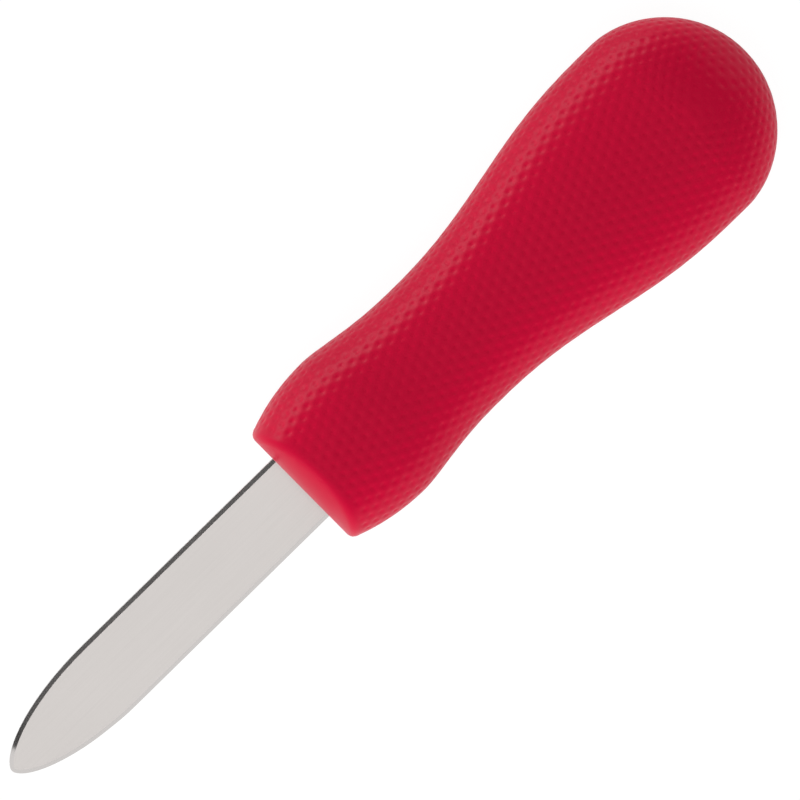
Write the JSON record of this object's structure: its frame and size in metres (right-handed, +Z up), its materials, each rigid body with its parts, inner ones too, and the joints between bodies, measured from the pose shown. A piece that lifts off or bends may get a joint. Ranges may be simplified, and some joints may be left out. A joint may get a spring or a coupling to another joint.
{
  "type": "oyster knife",
  "caption": "Oyster knife: stiff satin stainless blade with a rounded point, in a waisted handle of dimpled red elastomer moulded over a hard core.",
  "frame": {"origin": "middle of the knife's box at the ground, where it lies flat on the handle's two swells", "axes": "+X along the knife from the tip to the butt, +Y across the blade, +Z up from the ground, square to the blade's flats"},
  "size_m": [0.1934, 0.0425, 0.028],
  "materials": {
    "blade_steel": "satin, fine grain along the blade",
    "core_plastic": "moulded polypropylene, hidden in the handle",
    "grip_elastomer": "soft matte thermoplastic elastomer with a moulded dimple texture"
  },
  "bodies": {
    "root": {"blade": "blade_steel", "handle_core": "core_plastic", "soft_grip": "grip_elastomer"}
  },
  "joints": []
}
